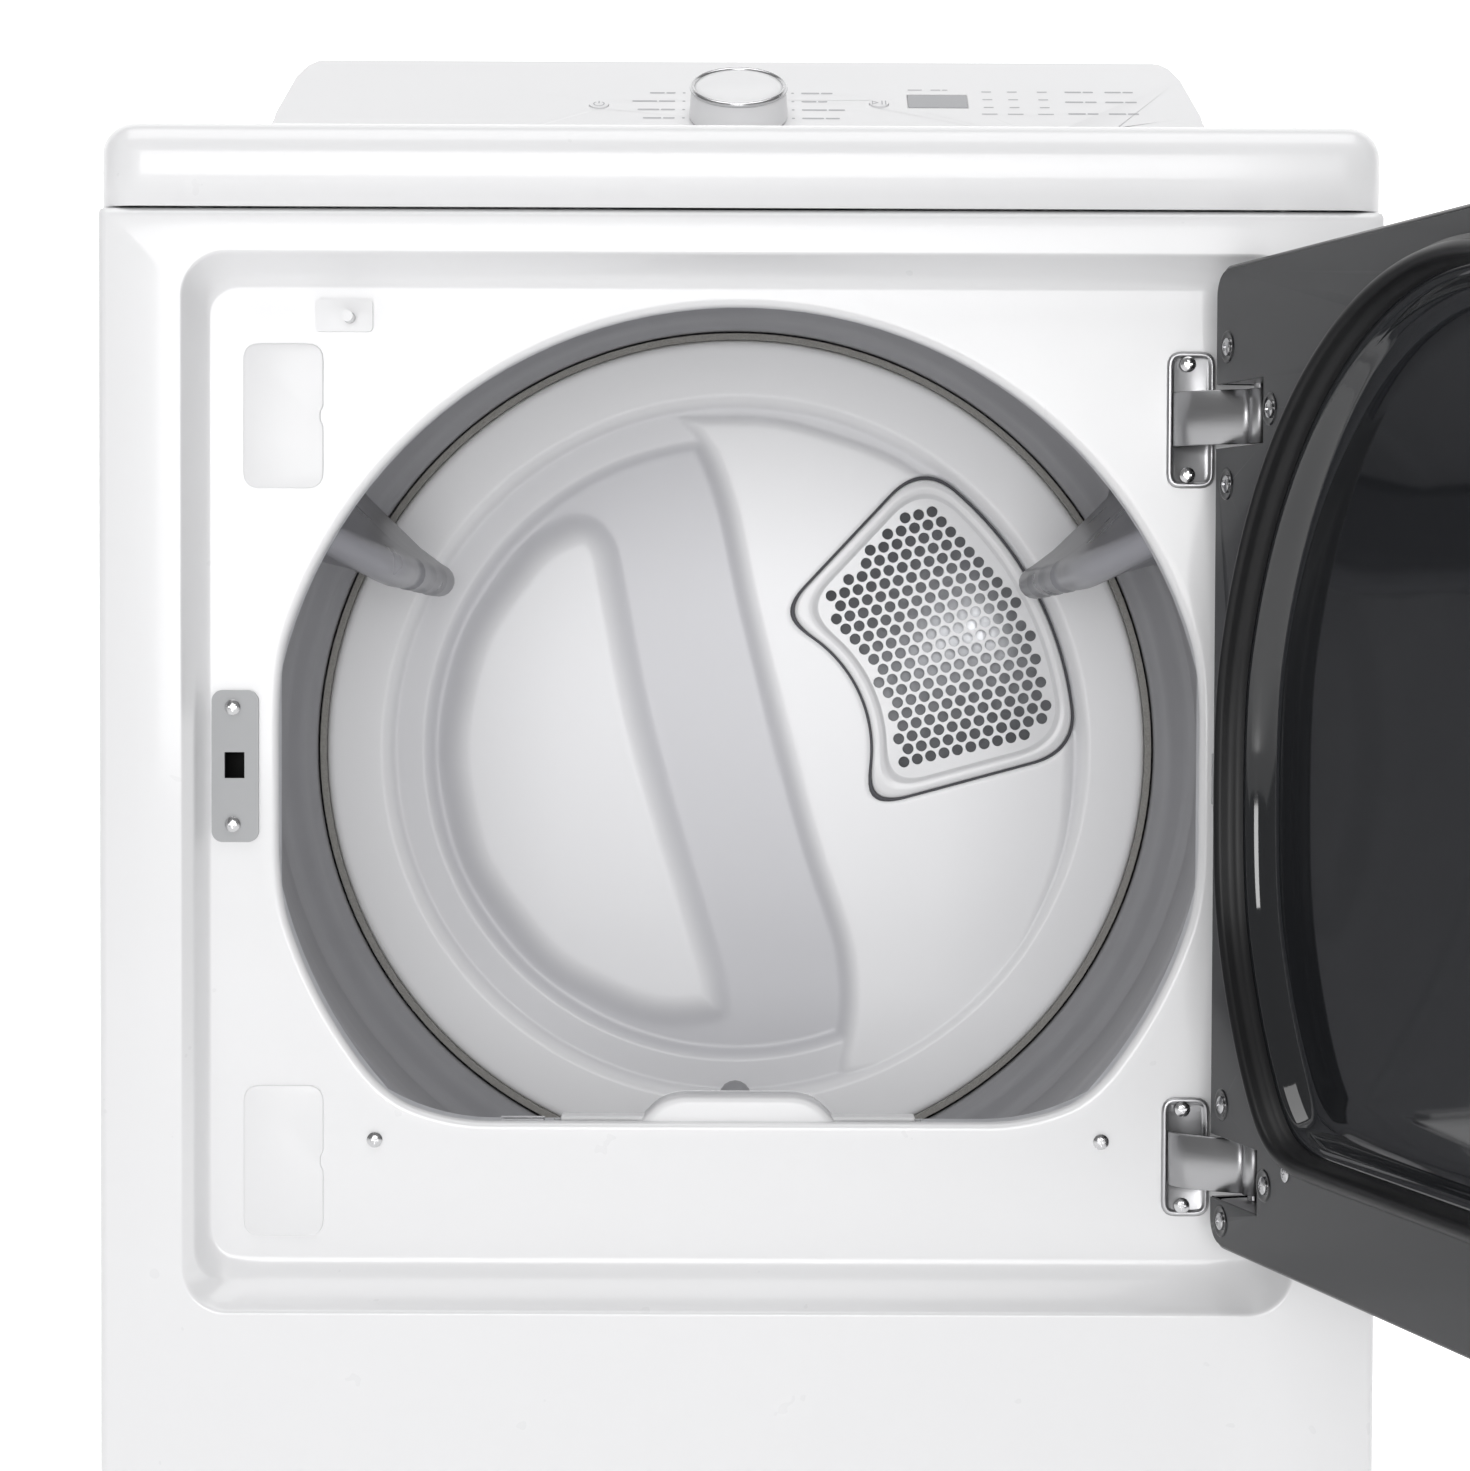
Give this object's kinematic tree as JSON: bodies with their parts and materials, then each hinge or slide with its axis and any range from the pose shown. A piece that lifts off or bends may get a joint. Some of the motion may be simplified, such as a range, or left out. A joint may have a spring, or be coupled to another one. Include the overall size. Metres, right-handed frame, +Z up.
{
  "type": "clothes dryer",
  "caption": "White front-loading vented clothes dryer with side-hinged dark glass door, grey steel drum with lifters, perforated air inlet and sloping rear console with a knob.",
  "frame": {"origin": "centre of the four levelling feet, on the floor", "axes": "+Z up, the door side faces -Y, the exhaust collar points along +Y, +X is to the right as seen from the front"},
  "size_m": [0.7697, 1.2992, 1.13],
  "materials": {
    "white_enamel": "gloss enamel",
    "white_plastic": "smooth",
    "galvanised": "galvanised sheet",
    "drum_grey": "satin grey enamel",
    "bulkhead_grey": "gloss light grey enamel",
    "grille_white": "satin",
    "felt": "wool felt",
    "rubber": "matte",
    "door_black": "deep gloss",
    "door_grey": "gloss",
    "smoked_glass": "tinted",
    "hinge_steel": "zinc plated",
    "bright_steel": "bright zinc",
    "knob_metal": "spun",
    "strike_grey": "satin",
    "dark_plastic": "moulded",
    "display": "unlit display",
    "ivory_plastic": "moulded",
    "board": "circuit board",
    "coil_wire": "oxidised"
  },
  "bodies": {
    "cabinet": {"side_panel_left": "white_enamel", "side_panel_right": "white_enamel", "rear_panel": "galvanised", "base_pan": "galvanised", "levelling_feet": "dark_plastic", "top_cover": "white_enamel", "console_housing": "white_plastic", "console_fascia": "white_plastic", "display_window": "display", "control_board": "board", "front_panel": "white_enamel", "front_bulkhead": "galvanised", "drum_felts": "felt", "drum_belt": "rubber", "rear_bulkhead": "bulkhead_grey", "air_inlet_grille": "grille_white", "roller_axles": "hinge_steel", "motor_housing": "galvanised", "motor_bracket": "galvanised", "blower_housing": "ivory_plastic", "lint_duct": "ivory_plastic", "exhaust_duct": "galvanised", "idler_spring": "hinge_steel", "heater_housing": "galvanised", "heating_coil": "coil_wire", "hot_air_duct": "galvanised", "moisture_sensor": "bright_steel", "hinge_brackets": "hinge_steel", "strike_plate": "strike_grey", "door_switch_housing": "white_plastic", "hinge_hole_covers": "white_plastic", "cabinet_screws": "bright_steel"},
    "drum": {"drum": "drum_grey", "drum_lifters": "drum_grey"},
    "motor_rotor": {"motor_shaft": "hinge_steel", "blower_wheel": "ivory_plastic"},
    "roller_front_left": {"roller_front_left": "dark_plastic"},
    "roller_front_right": {"roller_front_right": "dark_plastic"},
    "roller_rear_left": {"roller_rear_left": "dark_plastic"},
    "roller_rear_right": {"roller_rear_right": "dark_plastic"},
    "idler_arm": {"idler_arm": "hinge_steel"},
    "idler_pulley": {"idler_pulley": "dark_plastic"},
    "door": {"door_glass": "smoked_glass", "door_frame": "door_black", "door_inner_cover": "door_grey", "door_dish": "door_black", "door_gasket": "rubber", "door_hinge_mounts": "hinge_steel", "door_latch": "strike_grey", "door_screws": "bright_steel"},
    "cycle_knob": {"cycle_knob": "white_plastic", "knob_ring": "knob_metal"},
    "power_button": {"power_button": "white_plastic"},
    "start_button": {"start_button": "white_plastic"},
    "option_button_1": {"option_button_1": "white_plastic"},
    "option_button_2": {"option_button_2": "white_plastic"},
    "option_button_3": {"option_button_3": "white_plastic"},
    "door_switch_plunger": {"door_switch_plunger": "white_plastic"},
    "lint_filter": {"lint_filter": "white_plastic", "lint_screen": "hinge_steel"}
  },
  "joints": [
    {"name": "door_hinge", "type": "hinge", "parent": "cabinet", "child": "door", "pos_m": [0.2745, -0.36, 0.636], "axis": [0, 0, 1], "range_deg": [-104.5, 0]},
    {"name": "drum_spin", "type": "hinge", "parent": "cabinet", "child": "drum", "pos_m": [0, 0, 0.636], "axis": [0, 1, 0], "continuous": true},
    {"name": "motor_spin", "type": "hinge", "parent": "cabinet", "child": "motor_rotor", "pos_m": [0.15, 0, 0.14], "axis": [0, 1, 0], "continuous": true},
    {"name": "roller_front_left_spin", "type": "hinge", "parent": "cabinet", "child": "roller_front_left", "pos_m": [-0.22185, -0.228, 0.35204], "axis": [0, 1, 0], "continuous": true},
    {"name": "roller_front_right_spin", "type": "hinge", "parent": "cabinet", "child": "roller_front_right", "pos_m": [0.22185, -0.228, 0.35204], "axis": [0, 1, 0], "continuous": true},
    {"name": "roller_rear_left_spin", "type": "hinge", "parent": "cabinet", "child": "roller_rear_left", "pos_m": [-0.22185, 0.182, 0.35204], "axis": [0, 1, 0], "continuous": true},
    {"name": "roller_rear_right_spin", "type": "hinge", "parent": "cabinet", "child": "roller_rear_right", "pos_m": [0.22185, 0.182, 0.35204], "axis": [0, 1, 0], "continuous": true},
    {"name": "idler_arm_swing", "type": "hinge", "parent": "cabinet", "child": "idler_arm", "pos_m": [0.07, 0.082, 0.2], "axis": [0, 1, 0], "range_deg": [0, 6], "stiffness_Nm_per_rad": 1, "springref_deg": -34.38},
    {"name": "idler_pulley_spin", "type": "hinge", "parent": "idler_arm", "child": "idler_pulley", "pos_m": [-0.02, 0.069, 0.215], "axis": [0, 1, 0], "continuous": true},
    {"name": "cycle_knob_turn", "type": "hinge", "parent": "cabinet", "child": "cycle_knob", "pos_m": [0, 0.20229, 1.07547], "axis": [0, -0.515, 0.8572], "continuous": true},
    {"name": "power_button_press", "type": "slide", "parent": "cabinet", "child": "power_button", "axis": [0, 0.515, -0.8572], "range_m": [0, 0.0008], "stiffness_N_per_m": 300, "springref_m": -0.001},
    {"name": "start_button_press", "type": "slide", "parent": "cabinet", "child": "start_button", "axis": [0, 0.515, -0.8572], "range_m": [0, 0.0008], "stiffness_N_per_m": 300, "springref_m": -0.001},
    {"name": "option_button_1_press", "type": "slide", "parent": "cabinet", "child": "option_button_1", "axis": [0, 0.515, -0.8572], "range_m": [0, 0.0008], "stiffness_N_per_m": 300, "springref_m": -0.001},
    {"name": "option_button_2_press", "type": "slide", "parent": "cabinet", "child": "option_button_2", "axis": [0, 0.515, -0.8572], "range_m": [0, 0.0008], "stiffness_N_per_m": 300, "springref_m": -0.001},
    {"name": "option_button_3_press", "type": "slide", "parent": "cabinet", "child": "option_button_3", "axis": [0, 0.515, -0.8572], "range_m": [0, 0.0008], "stiffness_N_per_m": 300, "springref_m": -0.001},
    {"name": "door_switch_press", "type": "slide", "parent": "cabinet", "child": "door_switch_plunger", "axis": [0, 1, 0], "range_m": [0, 0.006], "stiffness_N_per_m": 150, "springref_m": -0.004},
    {"name": "lint_filter_lift", "type": "slide", "parent": "cabinet", "child": "lint_filter", "axis": [0, 0, 1], "range_m": [0, 0.115]}
  ],
  "couplings": [
    {"joint": "motor_spin", "follows": "drum_spin", "ratio": 25.2},
    {"joint": "roller_front_left_spin", "follows": "drum_spin", "ratio": -8.4737},
    {"joint": "roller_front_right_spin", "follows": "drum_spin", "ratio": -8.4737},
    {"joint": "roller_rear_left_spin", "follows": "drum_spin", "ratio": -8.4737},
    {"joint": "roller_rear_right_spin", "follows": "drum_spin", "ratio": -8.4737},
    {"joint": "idler_pulley_spin", "follows": "drum_spin", "ratio": 12.5}
  ]
}
